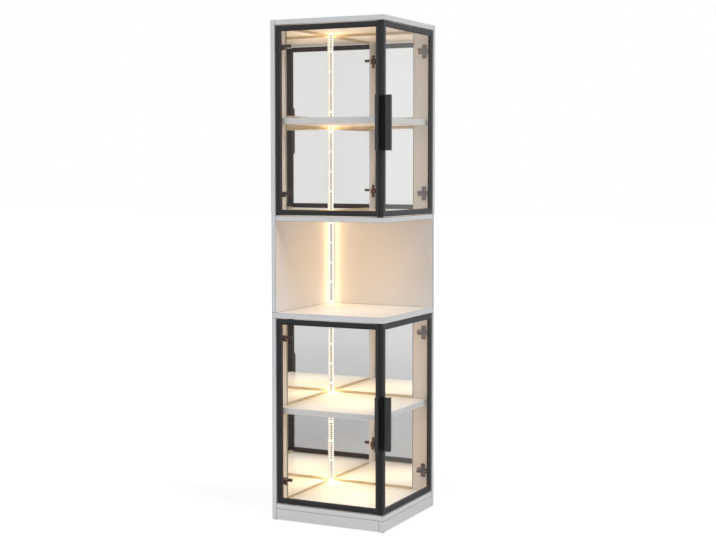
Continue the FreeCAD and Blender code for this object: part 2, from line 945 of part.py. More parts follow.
def outer_lever(middle):
    """Straight lever: its door end has the wide bore of the pivot that stays open."""
    low, high = lever_span(1, middle)
    body = link(open_door_pivot, outer_arm_pivot, open_knuckle_radius, outer_knuckle_radius, low, high)
    bores = [
        upright_rod(open_door_pivot, door_pin_radius + open_pivot_gap, low, high),
        upright_rod(outer_arm_pivot, arm_pin_radius + pin_running_gap, low, high),
    ]
    return body.cut(Part.makeCompound(bores))


def hinge_plate(middle):
    """Cross-shaped plate on the wall: a bar under the arm and two wings for the screws."""
    wall_x = -door_gap
    half_bar = hinge_half_height
    half_wing = plate_wing_height / 2
    bar = block(
        (wall_x, arm_block_start, middle - half_bar),
        (wall_x + plate_thick, arm_block_end, middle + half_bar),
    )
    wings = block(
        (wall_x, plate_wing_start, middle - half_wing),
        (wall_x + plate_thick, plate_wing_end, middle + half_wing),
    )
    tips = [edge for edge in wings.Edges if is_across(edge)]
    wings = wings.makeFillet(plate_wing_round, tips)
    plate = joined([bar, wings])
    hole_radius = plate_screw_radius + fitting_gap
    hole_length = plate_thick + 2 * cut_overrun
    holes = [
        rod(hole_radius, start - along_x * cut_overrun, along_x, hole_length)
        for start in plate_screw_places(middle)
    ]
    return plate.cut(Part.makeCompound(holes))


def is_across(edge):
    first, last = edge.Vertexes
    return abs(first.X - last.X) > plate_thick / 2


def plate_screw_places(middle):
    centre = (plate_wing_start + plate_wing_end) / 2
    half = plate_screw_spacing / 2
    return [point(-door_gap, centre, middle + offset) for offset in (-half, half)]


def plate_screw(start):
    seat = start + along_x * plate_thick
    shank = rod(plate_screw_radius, seat, -along_x, plate_thick + plate_screw_length)
    head = rod(plate_screw_head_radius, seat, along_x, plate_screw_head_height)
    rim = [edge for edge in head.Edges if lies_on(edge, "x", seat.x + plate_screw_head_height)]
    head = head.makeFillet(plate_screw_head_round, rim)
    return joined([shank, head])


def plate_screw_hole(start):
    depth = plate_screw_length + fitting_gap
    return rod(plate_screw_radius + fitting_gap, start, -along_x, depth)


def hinge_screw_holes(wall, level):
    """Screw holes in a wall; the front doors hang on the left wall, the side doors on the back."""
    side = "front" if wall == "left" else "side"
    holes = []
    for middle in hinge_levels(level):
        holes += [set_door(plate_screw_hole(start), side) for start in plate_screw_places(middle)]
    return holes


def every_hinge(make):
    """What make gives at each of the eight hinges, set on its wall."""
    solids = []
    for level in ("lower", "upper"):
        for side in ("front", "side"):
            for middle in hinge_levels(level):
                solids += [set_door(shape, side) for shape in make(middle)]
    return Part.makeCompound(solids)


def door_hinges(side, level, make):
    """What make gives at both hinges of one door."""
    solids = []
    for middle in hinge_levels(level):
        solids += make(middle)
    return set_door(Part.makeCompound(solids), side)


def door_nodes(level, side):
    name = level + "_" + side + "_"
    return {
        name + "hinge_stile": set_door(hinge_stile(level), side),
        name + "meeting_stile": set_door(meeting_stile(side, level), side),
        name + "rails": set_door(rails(side, level), side),
        name + "glass": set_door(pane(side, level), side),
        name + "handle": set_door(handle(side, level), side),
        name + "hinge_brackets": door_hinges(side, level, lambda z: [hinge_bracket(z)] + bracket_pins(z)),
        name + "inner_levers": door_hinges(side, level, lambda z: [inner_lever(z)]),
        name + "outer_levers": door_hinges(side, level, lambda z: [outer_lever(z)]),
    }


def carcass_nodes():
    screws = []
    for wall in ("left_wall_upper", "back_wall_upper"):
        screws += [panel_screw(place) for place in panel_screw_places(wall)]
    return {
        "left_wall_lower": left_wall("lower", glide_height, lower_ceiling),
        "left_wall_upper": left_wall("upper", niche_floor, cabinet_height),
        "back_wall_lower": back_wall("lower", glide_height, lower_ceiling),
        "back_wall_upper": back_wall("upper", niche_floor, cabinet_height),
        "base_board": inset_board("base_board", plinth_height),
        "middle_board": middle_board(),
        "niche_ceiling_board": inset_board("niche_ceiling_board", niche_ceiling),
        "top_board": inset_board("top_board", upper_ceiling),
        "front_kick_board": front_kick_board(),
        "side_kick_board": side_kick_board(),
        "foot_glides": Part.makeCompound([glide(centre) for centre, _ in glide_places()]),
        "lower_shelf": shelf("lower"),
        "upper_shelf": shelf("upper"),
        "shelf_connectors": shelf_connectors(),
        "lower_left_mirror": mirror("lower", "left"),
        "lower_back_mirror": mirror("lower", "back"),
        "upper_left_mirror": mirror("upper", "left"),
        "upper_back_mirror": mirror("upper", "back"),
        "light_channels": light_channels(),
        "light_strips": light_strips(),
        "corner_buffers": corner_buffers(),
        "connector_bolts": Part.makeCompound([fitting_bolt(place, cam_sizes) for place in all_cams]),
        "cam_locks": Part.makeCompound([fitting_cam(place, cam_sizes) for place in all_cams]),
        "board_dowels": Part.makeCompound([dowel(place) for place in all_dowels]),
        "panel_screws": Part.makeCompound(screws),
        "hinge_plates": every_hinge(lambda z: [hinge_plate(z)]),
        "hinge_arms": every_hinge(lambda z: [hinge_arm(z)] + arm_pins(z)),
        "plate_screws": every_hinge(lambda z: [plate_screw(start) for start in plate_screw_places(z)]),
    }


def main():
    os.makedirs("parts", exist_ok=True)
    nodes = carcass_nodes()
    for level in ("lower", "upper"):
        for side in ("front", "side"):
            nodes.update(door_nodes(level, side))
    for name, shape in nodes.items():
        shape.exportStep("parts/" + name + ".step")


main()
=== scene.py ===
import bmesh
import bpy
import math
from mathutils import Matrix, Vector


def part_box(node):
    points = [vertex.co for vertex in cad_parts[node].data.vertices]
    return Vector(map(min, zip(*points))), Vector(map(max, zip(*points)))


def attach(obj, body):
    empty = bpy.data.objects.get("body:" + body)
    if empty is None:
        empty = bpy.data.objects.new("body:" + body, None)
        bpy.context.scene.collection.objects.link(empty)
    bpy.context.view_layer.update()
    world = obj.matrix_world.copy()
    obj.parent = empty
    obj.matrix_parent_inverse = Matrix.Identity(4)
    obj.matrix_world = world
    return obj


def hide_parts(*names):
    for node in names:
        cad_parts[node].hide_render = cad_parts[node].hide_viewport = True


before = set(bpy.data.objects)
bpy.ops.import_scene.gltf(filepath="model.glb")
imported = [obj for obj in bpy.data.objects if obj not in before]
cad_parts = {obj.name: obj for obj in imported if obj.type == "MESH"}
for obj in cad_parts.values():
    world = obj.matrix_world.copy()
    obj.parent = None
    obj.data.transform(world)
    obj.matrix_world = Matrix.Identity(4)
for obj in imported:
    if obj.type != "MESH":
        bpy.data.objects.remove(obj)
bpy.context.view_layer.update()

# Lengths are in metres
MILLIMETRE = 0.001
weld_distance = 0.001 * MILLIMETRE
relief_depth = 0.05 * MILLIMETRE
arris_break = 0.1 * MILLIMETRE
joint_reach = 1.2 * MILLIMETRE

# Decimals of a metre to which two solids count as equally high
height_digits = 5

# Small lamps on the light strip: each is a flat case with a sunk window
chip_pitch = 8.5 * MILLIMETRE
chip_width = 8.6 * MILLIMETRE
chip_height = 5.0 * MILLIMETRE
chip_thick = 0.9 * MILLIMETRE
chip_rim = 0.6 * MILLIMETRE
chip_window_sink = 0.15 * MILLIMETRE
strip_half_thick = 0.6 * MILLIMETRE
places_per_mark = 9

# Painted shade lines along the mirrors' edges, and beads of the panes
edge_shade_width = 10.0 * MILLIMETRE
edge_shade_proud = 0.3 * MILLIMETRE
pane_bite = 5.5 * MILLIMETRE
stile_bead_width = 4.5 * MILLIMETRE
rail_bead_width = 1.6 * MILLIMETRE
bead_proud = 3.0 * MILLIMETRE
bead_slope = 0.7 * MILLIMETRE

# Screws of the hinges, each turned by more degrees than the one before
plate_screw_radius = 3.5 * MILLIMETRE
plate_screw_height = 1.6 * MILLIMETRE
plate_screw_turn = 37
plate_shank_length = 12 * MILLIMETRE
plate_shank_radius = 1.8 * MILLIMETRE
plate_shank_tip_radius = 0.6 * MILLIMETRE
setting_screw_radius = 3.4 * MILLIMETRE
setting_screw_height = 0.8 * MILLIMETRE
setting_screw_first_turn = 20
setting_screw_turn = 50

# Place of a setting screw: how far off the wall, and how far from the inner end of its plate
arm_face_height = 9 * MILLIMETRE
arm_screw_setback = 9 * MILLIMETRE

# Flat top of a screw head: a grid of faces, with shares of the head's radius
head_grid_steps = 5
head_grid_share = 0.62
head_flat_share = 0.68

# Cross in the top: reach and inset as shares of the radius, depth as a share of the height
recess_reach_share = 0.3
recess_inset_share = 0.02
recess_depth_share = 0.55

# How far off an arm's line the middle of a face of the cross may lie, as a share of the reach
recess_centre_share = 0.1

# Rings of the head outside its top: share of the radius, and drop as a share of the height
head_profile_shares = ((0.86, 0.12), (0.97, 0.3), (1.0, 0.45), (1.0, 1.0))

# Share of its normal above which a face looks along an axis, and above which it is no arris
facing_share = 0.5
flat_share = 0.98

# Colours as they are written on the finishes
laminate_white = (0.80, 0.80, 0.81, 1)
band_white = (0.79, 0.805, 0.825, 1)
# Shelves' edge bands: painted light, lighter than the other bands for the light they catch
shelf_band_lit_white = (0.92, 0.91, 0.90, 1)
# Painted shade for the seams between the boards
seam_shade_grey = (0.16, 0.14, 0.12, 1)
frame_dark = (0.020, 0.021, 0.024, 1)
# Backs of the door frames: painted warm light on metal that is the same dark all round
painted_warm_back_brown = (0.018, 0.009, 0.006, 1)
handle_black = (0.012, 0.012, 0.013, 1)
bead_brown = (0.085, 0.066, 0.060, 1)
# Lighter metal on the arrises: wear, and a painted highlight
bare_and_highlit_metal = (0.16, 0.15, 0.14, 1)
hinge_brown = (0.13, 0.052, 0.020, 1)
lever_brown = (0.06, 0.030, 0.015, 1)
plated_steel = (0.42, 0.41, 0.40, 1)
beech_tan = (0.55, 0.38, 0.22, 1)
glide_grey = (0.16, 0.16, 0.165, 1)
buffer_grey = (0.55, 0.55, 0.53, 1)
# Tan of the mirrors' polished edges, and of the painted shade along them
glass_edge_and_shade_tan = (0.55, 0.48, 0.35, 1)
glass_tint = (0.985, 0.985, 0.98, 1)
glass_shadow_tint = (0.93, 0.93, 0.93, 1)
mirror_white = (0.95, 0.95, 0.95, 1)
strip_cream = (0.32, 0.312, 0.288, 1)
chip_housing = (0.09, 0.07, 0.055, 1)
chip_amber = (0.20, 0.14, 0.10, 1)
floor_grey = (0.55, 0.55, 0.56, 1)
plain_white = (1, 1, 1, 1)

# Colours of the lamps
lamp_warm = (1.0, 0.67, 0.32)
bay_warm = (1.0, 0.50, 0.08)
bay_pale = (0.75, 1.0, 0.85)

# Lower than real glass, because the photograph's panes hardly veil what lies behind them
pane_index = 1.3

# Greatest roughness of the mirrors' silver
mirror_haze = 0.004

# How brightly the lit surfaces glow; the channel's glow is painted light, as the channel is no lamp
channel_painted_light_strength = 3.0
strip_strength = 2.8
chip_strength = 0.3

# Values of the noise at which a finish reaches its one end and its other
broad_noise_ends = (0.35, 0.65)
fine_noise_ends = (0.3, 0.7)
patch_noise_ends = (0.42, 0.62)

# Likeness of the rounded normal to the flat one, where rubbing starts and where it is full
arris_likeness_ends = (0.99, 0.88)
arris_samples = 4

# Lamps that stand for the light strip; spreads are in degrees and powers in watts
strip_lamp_width = 8 * MILLIMETRE
strip_lamp_trim = 10 * MILLIMETRE
strip_lamp_stand = 2.5 * MILLIMETRE
strip_lamp_spread = 178
strip_lamp_powers = {"lower": 1.9, "niche": 0.34, "upper": 1.6}

# Glow of each bay: the power of its warm lamp and of its pale one
bay_powers = {
    "lower_floor_glow": (0.7, 0.15),
    "lower_shelf_glow": (0.7, 0.15),
    "niche_glow": (0.5, 0.03),
    "upper_floor_glow": (0.5, 0.06),
    "upper_shelf_glow": (0.48, 0.06),
}
glow_radius = 0.09
pale_lamp_side = 0.36
pale_lamp_spread = 80
pale_lamp_drop = 10 * MILLIMETRE

# Studio: each sun's name, the direction it comes from and its strength; breadth in degrees
suns = (
    ("front_light", (-0.25, -1.0, 1.0), 1.15),
    ("side_light", (1.0, -0.15, 0.9), 1.45),
    ("back_light", (-0.8, 1.0, 0.6), 0.8),
)
sun_breadth = 40
ambient_strength = 0.25
mirrored_whiteness = 0.86

# Studio floor: distances between which it fades, and its lift at each, seen straight and mirrored
floor_reach = 30.0
floor_fade = (0.8, 3.0)
floor_lift = (0.6, 1.0)
mirrored_fade = (1.0, 5.0)
mirrored_lift = (0.0, 0.22)

# The photograph's viewpoint: sensor in millimetres, place in metres, angles in degrees
photo_width = 716
focal_pixels = 1401.5
sensor_width = 36.0
camera_place = (2.2758, -4.6173, 1.2902)
camera_angles = (85.782, 0, 26.158)


# Shader groups shared by the finishes
def new_group(name, inputs, outputs):
    """A shader node group: inputs are (name, kind, value), outputs are (name, kind)."""
    group = bpy.data.node_groups.new(name, "ShaderNodeTree")
    for label, kind, value in inputs:
        socket = group.interface.new_socket(label, in_out="INPUT", socket_type=kind)
        socket.default_value = value
    for label, kind in outputs:
        group.interface.new_socket(label, in_out="OUTPUT", socket_type=kind)
    entry = group.nodes.new("NodeGroupInput")
    leave = group.nodes.new("NodeGroupOutput")
    return group, entry, leave


def stretched_noise(tree, stretch, scale, detail):
    """Noise on Object coordinates, stretched by a vector socket."""
    place = tree.nodes.new("ShaderNodeTexCoord")
    squeeze = tree.nodes.new("ShaderNodeVectorMath")
    squeeze.operation = "MULTIPLY"
    noise = tree.nodes.new("ShaderNodeTexNoise")
    noise.inputs["Detail"].default_value = detail
    tree.links.new(place.outputs["Object"], squeeze.inputs[0])
    tree.links.new(stretch, squeeze.inputs[1])
    tree.links.new(squeeze.outputs["Vector"], noise.inputs["Vector"])
    tree.links.new(scale, noise.inputs["Scale"])
    return noise


def mapped(tree, value, low, high, out_low, out_high):
    """Map Range whose four ends may be sockets or numbers."""
    span = tree.nodes.new("ShaderNodeMapRange")
    tree.links.new(value, span.inputs["Value"])
    ends = {"From Min": low, "From Max": high, "To Min": out_low, "To Max": out_high}
    for label, end in ends.items():
        if isinstance(end, (int, float)):
            span.inputs[label].default_value = end
        else:
            tree.links.new(end, span.inputs[label])
    return span.outputs["Result"]


def product(tree, first, second):
    times = tree.nodes.new("ShaderNodeMath")
    times.operation = "MULTIPLY"
    tree.links.new(first, times.inputs[0])
    tree.links.new(second, times.inputs[1])
    return times.outputs["Value"]


def grain_group():
    """Fine streaks or pearl: a colour shade, a roughness and a height, from stretched noise."""
    inputs = [
        ("Color", "NodeSocketColor", (0.5, 0.5, 0.5, 1)),
        ("Shade", "NodeSocketFloat", 0.9),
        ("Rough Low", "NodeSocketFloat", 0.3),
        ("Rough High", "NodeSocketFloat", 0.5),
        ("Stretch", "NodeSocketVector", (1, 1, 1)),
        ("Fine Scale", "NodeSocketFloat", 900.0),
        ("Broad Scale", "NodeSocketFloat", 6.0),
    ]
    outputs = [
        ("Color", "NodeSocketColor"),
        ("Roughness", "NodeSocketFloat"),
        ("Height", "NodeSocketFloat"),
    ]
    group, entry, leave = new_group("surface_grain", inputs, outputs)
    stretch = entry.outputs["Stretch"]
    fine = stretched_noise(group, stretch, entry.outputs["Fine Scale"], detail=3.0)
    broad = stretched_noise(group, stretch, entry.outputs["Broad Scale"], detail=2.0)
    shaded = group.nodes.new("ShaderNodeMix")
    shaded.data_type = "RGBA"
    shaded.blend_type = "MULTIPLY"
    shaded.inputs["Factor"].default_value = 1.0
    tone = mapped(group, broad.outputs["Fac"], *broad_noise_ends, entry.outputs["Shade"], 1.0)
    group.links.new(entry.outputs["Color"], shaded.inputs["A"])
    group.links.new(tone, shaded.inputs["B"])
    rough_ends = (entry.outputs["Rough Low"], entry.outputs["Rough High"])
    rough = mapped(group, fine.outputs["Fac"], *fine_noise_ends, *rough_ends)
    group.links.new(shaded.outputs["Result"], leave.inputs["Color"])
    group.links.new(rough, leave.inputs["Roughness"])
    group.links.new(fine.outputs["Fac"], leave.inputs["Height"])
    return group


def arris_group():
    """Mask of the rubbed arrises with their painted highlight, broken into patches: nought on the flats.
    """
    inputs = [
        ("Width", "NodeSocketFloat", 0.4 * MILLIMETRE),
        ("Amount", "NodeSocketFloat", 0.5),
        ("Patch Stretch", "NodeSocketVector", (1, 1, 1)),
        ("Patch Scale", "NodeSocketFloat", 40.0),
    ]
    group, entry, leave = new_group("rubbed_and_highlit_arris", inputs, [("Mask", "NodeSocketFloat")])
    rounded = group.nodes.new("ShaderNodeBevel")
    rounded.samples = arris_samples
    group.links.new(entry.outputs["Width"], rounded.inputs["Radius"])
    flat = group.nodes.new("ShaderNodeNewGeometry")
    likeness = group.nodes.new("ShaderNodeVectorMath")
    likeness.operation = "DOT_PRODUCT"
    group.links.new(rounded.outputs["Normal"], likeness.inputs[0])
    group.links.new(flat.outputs["Normal"], likeness.inputs[1])
    arris = mapped(group, likeness.outputs["Value"], *arris_likeness_ends, 0.0, 1.0)
    patch_stretch = entry.outputs["Patch Stretch"]
    patches = stretched_noise(group, patch_stretch, entry.outputs["Patch Scale"], detail=4.0)
    broken = mapped(group, patches.outputs["Fac"], *patch_noise_ends, 0.0, 1.0)
    mask = product(group, product(group, arris, broken), entry.outputs["Amount"])
    group.links.new(mask, leave.inputs["Mask"])
    return group


surface_grain = grain_group()
rubbed_and_highlit_arris = arris_group()

# How the grain is drawn out: not at all, upwards, or level
even = (1, 1, 1)
upright_drawn = (1, 1, 0.02)
level_drawn = (0.02, 0.02, 1)


# Finishes
def principled(name):
    material = bpy.data.materials.new(name)
    material.use_nodes = True
    shader = material.node_tree.nodes["Principled BSDF"]
    return material, shader


def add_grain(tree, shader, color, shade, rough, fine_scale):
    """Places the shared grain in a material and leads its colour and roughness to the shader."""
    grain = tree.nodes.new("ShaderNodeGroup")
    grain.node_tree = surface_grain
    grain.inputs["Color"].default_value = color
    grain.inputs["Shade"].default_value = shade
    grain.inputs["Rough Low"].default_value = rough[0]
    grain.inputs["Rough High"].default_value = rough[1]
    grain.inputs["Fine Scale"].default_value = fine_scale
    tree.links.new(grain.outputs["Color"], shader.inputs["Base Color"])
    tree.links.new(grain.outputs["Roughness"], shader.inputs["Roughness"])
    return grain


def grained(
    name, color, shade, rough, fine_scale, bump, stretch=even, metallic=0.0, specular=0.5, broad_scale=6.0
):
    """A finish whose tone, roughness and bump come from the shared grain."""
    material, shader = principled(name)
    tree = material.node_tree
    grain = add_grain(tree, shader, color, shade, rough, fine_scale)
    grain.inputs["Stretch"].default_value = stretch
    grain.inputs["Broad Scale"].default_value = broad_scale
    relief = tree.nodes.new("ShaderNodeBump")
    relief.inputs["Strength"].default_value = bump
    relief.inputs["Distance"].default_value = relief_depth
    tree.links.new(grain.outputs["Height"], relief.inputs["Height"])
    tree.links.new(relief.outputs["Normal"], shader.inputs["Normal"])
    shader.inputs["Metallic"].default_value = metallic
    shader.inputs["Specular IOR Level"].default_value = specular
    return material


def rub_and_highlight_arrises(material, amount, bare=bare_and_highlit_metal):
    """Lets the bare metal through along the arrises of a finish: wear, and a painted highlight."""
    tree = material.node_tree
    shader = tree.nodes["Principled BSDF"]
    wear = tree.nodes.new("ShaderNodeGroup")
    wear.node_tree = rubbed_and_highlit_arris
    wear.inputs["Amount"].default_value = amount
    blend = tree.nodes.new("ShaderNodeMix")
    blend.data_type = "RGBA"
    blend.inputs["B"].default_value = bare
    tree.links.new(wear.outputs["Mask"], blend.inputs["Factor"])
    tree.links.new(shader.inputs["Base Color"].links[0].from_socket, blend.inputs["A"])
    tree.links.new(blend.outputs["Result"], shader.inputs["Base Color"])


laminate = grained(
    "white_laminate", laminate_white,
    shade=0.985, rough=(0.24, 0.34), fine_scale=1400.0, bump=0.15,
)
edge_band = grained(
    "white_edge_band", band_white,
    shade=0.985, rough=(0.38, 0.48), fine_scale=700.0, bump=0.2,
)
# Painted light: the shelves' edge bands are lighter than the other bands
shelf_band = grained(
    "shelf_edge_band", shelf_band_lit_white,
    shade=0.985, rough=(0.3, 0.4), fine_scale=700.0, bump=0.15,
)
# Painted shade in the seams between the boards
board_seam_painted_shade = grained(
    "board_seam_painted_shade", seam_shade_grey,
    shade=0.8, rough=(0.6, 0.8), fine_scale=300.0, bump=0.2,
)
stile_metal = grained(
    "stile_anodised", frame_dark,
    shade=0.85, rough=(0.34, 0.46), fine_scale=900.0, bump=0.3,
    stretch=upright_drawn, metallic=0.35, specular=0.6,
)
rail_metal = grained(
    "rail_anodised", frame_dark,
    shade=0.85, rough=(0.34, 0.46), fine_scale=900.0, bump=0.3,
    stretch=level_drawn, metallic=0.35, specular=0.6,
)
# Painted warm light on the backs of the door frames
frame_back_painted_warm = grained(
    "frame_back_painted_warm", painted_warm_back_brown,
    shade=0.9, rough=(0.34, 0.46), fine_scale=900.0, bump=0.08, specular=0.3,
)
handle_metal = grained(
    "handle_anodised", handle_black,
    shade=0.85, rough=(0.36, 0.46), fine_scale=900.0, bump=0.3,
    stretch=upright_drawn, specular=0.8,
)
hinge_metal = grained(
    "hinge_bronze", hinge_brown,
    shade=0.8, rough=(0.34, 0.46), fine_scale=700.0, bump=0.3,
    metallic=0.4, specular=0.4, broad_scale=60.0,
)
lever_metal = grained(
    "lever_bronze", lever_brown,
    shade=0.85, rough=(0.3, 0.42), fine_scale=900.0, bump=0.2,
    metallic=0.4, specular=0.4, broad_scale=80.0,
)
fitting_metal = grained(
    "fitting_steel", plated_steel,
    shade=0.8, rough=(0.3, 0.45), fine_scale=700.0, bump=0.3,
    metallic=1.0, broad_scale=80.0,
)
dowel_wood = grained(
    "dowel_beech", beech_tan,
    shade=0.75, rough=(0.5, 0.7), fine_scale=400.0, bump=0.5, specular=0.3, broad_scale=90.0,
)
glide_plastic = grained(
    "glide_plastic", glide_grey,
    shade=0.9, rough=(0.4, 0.55), fine_scale=900.0, bump=0.2,
)
buffer_rubber = grained(
    "buffer_rubber", buffer_grey,
    shade=0.93, rough=(0.35, 0.5), fine_scale=900.0, bump=0.15,
)
bead_metal = grained(
    "glazing_bead", bead_brown,
    shade=0.85, rough=(0.3, 0.42), fine_scale=900.0, bump=0.1, metallic=0.5,
)
# Polished edges of the mirrors, and the painted shade strips along them
glass_edge_and_painted_shade = grained(
    "polished_glass_edge_and_painted_shade", glass_edge_and_shade_tan,
    shade=0.92, rough=(0.2, 0.35), fine_scale=300.0, bump=0.05,
)
chip_case = grained(
    "lamp_chip_case", chip_housing,
    shade=0.8, rough=(0.3, 0.4), fine_scale=900.0, bump=0.1,
)
# Rubbed arrises: wear, and a painted highlight along them
rub_and_highlight_arrises(stile_metal, amount=0.3)
rub_and_highlight_arrises(rail_metal, amount=0.3)
rub_and_highlight_arrises(handle_metal, amount=0.3)
rub_and_highlight_arrises(hinge_metal, amount=0.6, bare=plated_steel)
rub_and_highlight_arrises(lever_metal, amount=0.6, bare=plated_steel)


def clear_glass():
    """Clear glass; lamps pass through it with no dark shadow."""
    material, shader = principled("clear_glass")
    tree = material.node_tree
    shader.inputs["Base Color"].default_value = glass_tint
    shader.inputs["Roughness"].default_value = 0.0
    shader.inputs["IOR"].default_value = pane_index
    shader.inputs["Transmission Weight"].default_value = 1.0
    open_way = tree.nodes.new("ShaderNodeBsdfTransparent")
    open_way.inputs["Color"].default_value = glass_shadow_tint
    path = tree.nodes.new("ShaderNodeLightPath")
    either = tree.nodes.new("ShaderNodeMath")
    either.operation = "MAXIMUM"
    choice = tree.nodes.new("ShaderNodeMixShader")
    output = tree.nodes["Material Output"]
    tree.links.new(path.outputs["Is Shadow Ray"], either.inputs[0])
    tree.links.new(path.outputs["Is Diffuse Ray"], either.inputs[1])
    tree.links.new(either.outputs["Value"], choice.inputs["Fac"])
    tree.links.new(shader.outputs["BSDF"], choice.inputs[1])
    tree.links.new(open_way.outputs["BSDF"], choice.inputs[2])
    tree.links.new(choice.outputs["Shader"], output.inputs["Surface"])
    return material


def silvered_mirror():
    """Mirror whose silver is a little hazy in places."""
    material, shader = principled("silvered_mirror")
    tree = material.node_tree
    add_grain(tree, shader, mirror_white, shade=0.99, rough=(0.0, mirror_haze), fine_scale=12.0)
    shader.inputs["Metallic"].default_value = 1.0
    return material


def glowing(name, color, strength):
    """A lit surface whose glow is a little uneven; on the channel the glow is painted light."""
    material = grained(
        name, color, shade=0.9, rough=(0.35, 0.5), fine_scale=500.0, bump=0.1, broad_scale=120.0
    )
    tree = material.node_tree
    shader = tree.nodes["Principled BSDF"]
    tree.links.new(shader.inputs["Base Color"].links[0].from_socket, shader.inputs["Emission Color"])
    shader.inputs["Emission Strength"].default_value = strength
    return material


pane_glass = clear_glass()
mirror_silver = silvered_mirror()
# The channel is no lamp: its glow is painted light from the strip beside it
channel_painted_light = glowing("channel_painted_light", strip_cream, channel_painted_light_strength)
strip_glow = glowing("light_strip_glow", strip_cream, strip_strength)
chip_glow = glowing("lamp_chip_glow", chip_amber, chip_strength)

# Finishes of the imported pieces, by the start and by the end of their names
finish_by_start = {
    "left_wall": laminate,
    "back_wall": laminate,
    "base_board": laminate,
    "middle_board": laminate,
    "niche_ceiling_board": laminate,
    "top_board": laminate,
    "front_kick_board": laminate,
    "side_kick_board": laminate,
    "lower_shelf": laminate,
    "upper_shelf": laminate,
    "foot_glides": glide_plastic,
    "shelf_connectors": fitting_metal,
    "light_channels": channel_painted_light,
    "light_strips": strip_glow,
    "corner_buffers": buffer_rubber,
    "connector_bolts": fitting_metal,
    "cam_locks": fitting_metal,
    "board_dowels": dowel_wood,
    "panel_screws": fitting_metal,
    "plate_screws": fitting_metal,
    "hinge_plates": hinge_metal,
    "hinge_arms": hinge_metal,
}
finish_by_end = {
    "_mirror": mirror_silver,
    "_hinge_stile": stile_metal,
    "_meeting_stile": stile_metal,
    "_rails": rail_metal,
    "_glass": pane_glass,
    "_handle": handle_metal,
    "_hinge_brackets": hinge_metal,
    "_inner_levers": lever_metal,
    "_outer_levers": lever_metal,
}


def finish_node(name, material):
    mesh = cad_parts[name].data
    mesh.materials.clear()
    mesh.materials.append(material)


def finish_all_nodes():
    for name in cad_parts:
        for start, material in finish_by_start.items():
            if name.startswith(start):
                finish_node(name, material)
        for end, material in finish_by_end.items():
            if name.endswith(end):
                finish_node(name, material)


finish_all_nodes()


def finish_faces(name, material, chosen):
    """A second finish on the faces of a node whose normals pass a test."""
    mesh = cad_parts[name].data
    mesh.materials.append(material)
    for face in mesh.polygons:
        if chosen(face.normal):
            face.material_index = len(mesh.materials) - 1


def off_x(normal):
    return abs(normal.x) < facing_share


def off_y(normal):
    return abs(normal.y) < facing_share


def off_z(normal):
    return abs(normal.z) < facing_share


def finish_edges():
    """Bands on the boards' edges, backs of the door frames in painted warm light, bare edges of the
    mirrors.
    """
    for name in ("base_board", "middle_board", "niche_ceiling_board", "top_board"):
        finish_faces(name, edge_band, off_z)
    for name in ("lower_shelf", "upper_shelf"):
        finish_faces(name, shelf_band, off_z)
    for name in ("left_wall_lower", "left_wall_upper", "side_kick_board"):
        finish_faces(name, edge_band, off_x)
    for name in ("back_wall_lower", "back_wall_upper", "front_kick_board"):
        finish_faces(name, edge_band, off_y)
    for level in ("lower", "upper"):
        for part in ("hinge_stile", "meeting_stile", "rails"):
            front, side = level + "_front_" + part, level + "_side_" + part
            finish_faces(front, frame_back_painted_warm, lambda normal: normal.y > facing_share)
            finish_faces(side, frame_back_painted_warm, lambda normal: normal.x < -facing_share)
        finish_faces(level + "_left_mirror", glass_edge_and_painted_shade, off_x)
        finish_faces(level + "_back_mirror", glass_edge_and_painted_shade, off_y)


finish_edges()

panel_names = (
    "left_wall_lower", "left_wall_upper", "back_wall_lower", "back_wall_upper", "base_board",
    "middle_board", "niche_ceiling_board", "front_kick_board", "side_kick_board",
)


def joint_planes():
    """Planes, as an axis and a level along it, in which two boards meet."""
    planes = [
        (0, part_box("left_wall_lower")[1][0]),
        (1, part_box("back_wall_lower")[0][1]),
        (2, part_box("front_kick_board")[1][2]),
        (0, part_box("side_kick_board")[0][0]),
    ]
    for name in ("middle_board", "niche_ceiling_board", "base_board", "top_board"):
        planes += [(2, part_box(name)[0][2]), (2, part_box(name)[1][2])]
    return planes


def paint_seam_shade():
    """Painted shade in the seams: dark lines in the rounded arrises where two boards meet."""
    planes = joint_planes()
    for name in panel_names:
        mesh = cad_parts[name].data
        mesh.materials.append(board_seam_painted_shade)
        for face in mesh.polygons:
            if max(abs(share) for share in face.normal) < flat_share:
                if any(abs(face.center[axis] - level) < joint_reach for axis, level in planes):
                    face.material_index = len(mesh.materials) - 1


paint_seam_shade()


# New pieces
def make_piece(name, shape, materials, body):
    """Turns a bmesh into a piece that rides on a body."""
    mesh = bpy.data.meshes.new(name)
    bmesh.ops.recalc_face_normals(shape, faces=shape.faces[:])
    shape.to_mesh(mesh)
    shape.free()
    for material in materials:
        mesh.materials.append(material)
    piece = bpy.data.objects.new(name, mesh)
    bpy.context.scene.collection.objects.link(piece)
    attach(piece, body)
    return piece


def add_block(shape, low, high, broken=arris_break):
    """A block between two corners with its arrises broken, added to a bmesh."""
    made = bmesh.ops.create_cube(shape, size=1.0)["verts"]
    low, high = Vector(low), Vector(high)
    bmesh.ops.scale(shape, vec=high - low, verts=made)
    bmesh.ops.translate(shape, vec=(low + high) / 2, verts=made)
    edges = list({edge for vert in made for edge in vert.link_edges})
    bmesh.ops.bevel(
        shape, geom=edges, offset=broken, segments=1, profile=0.5, affect="EDGES", material=-1
    )


